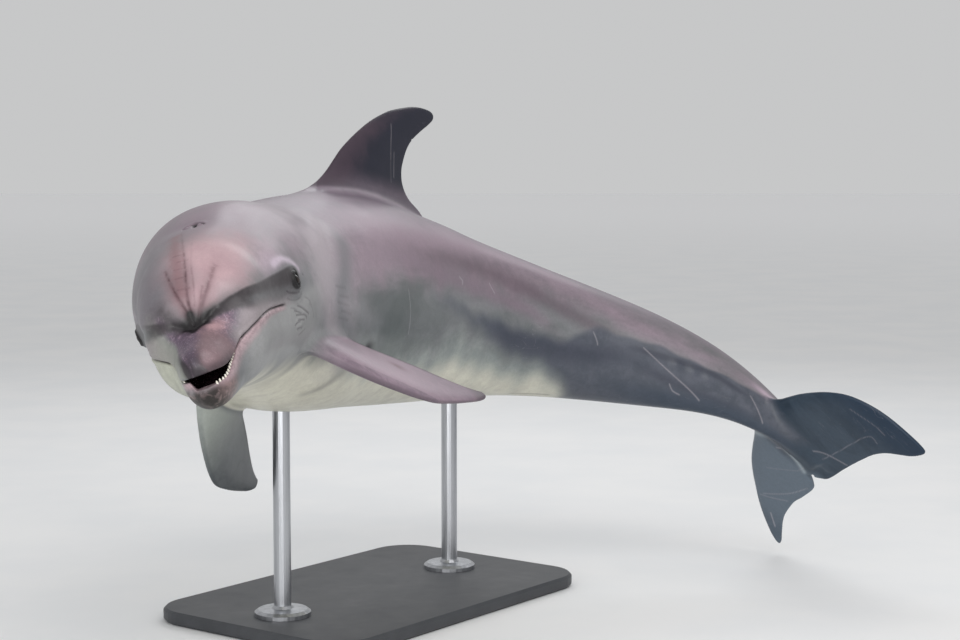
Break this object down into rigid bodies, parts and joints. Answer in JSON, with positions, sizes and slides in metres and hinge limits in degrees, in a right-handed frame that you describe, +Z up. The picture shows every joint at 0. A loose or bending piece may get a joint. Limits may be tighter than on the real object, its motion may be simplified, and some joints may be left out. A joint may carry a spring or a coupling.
{
  "type": "bottlenose dolphin model",
  "caption": "Life-size bottlenose dolphin turning as it swims, mouth slightly open, held over a flat base by slim rods; a still display model.",
  "frame": {"origin": "middle of the underside of the stand's base, on the floor", "axes": "+Z up. The dolphin heads along -Y with its tail curving off to +X; the base is turned 53 degrees about Z, so its long side runs between the two rods."},
  "size_m": [1.7616, 1.6248, 1.149],
  "materials": {
    "skin_head": "smooth wet skin, pinkish grey melon with dark red-brown wrinkles",
    "skin_jaw": "smooth wet skin, pale grey with a pink lip",
    "skin_body": "smooth wet skin, mauve grey back over a pale cream belly",
    "skin_fin": "smooth wet skin, dark slate grey",
    "eye": "polished, near black",
    "teeth": "smooth ivory white",
    "mouth": "dark moist lining",
    "stand_base": "matt dark grey paint",
    "stand_metal": "brushed"
  },
  "bodies": {
    "root": {"head": "skin_head", "upper_jaw": "skin_head", "lower_jaw": "skin_jaw", "eye_left": "eye", "eye_right": "eye", "neck": "skin_body", "trunk_front": "skin_body", "trunk_middle": "skin_body", "trunk_rear": "skin_body", "tail_stock": "skin_body", "dorsal_fin": "skin_fin", "flipper_left": "skin_fin", "flipper_right": "skin_fin", "fluke_left": "skin_fin", "fluke_right": "skin_fin", "stand_base": "stand_base", "stand_rod_front": "stand_metal", "stand_rod_rear": "stand_metal"}
  },
  "joints": []
}
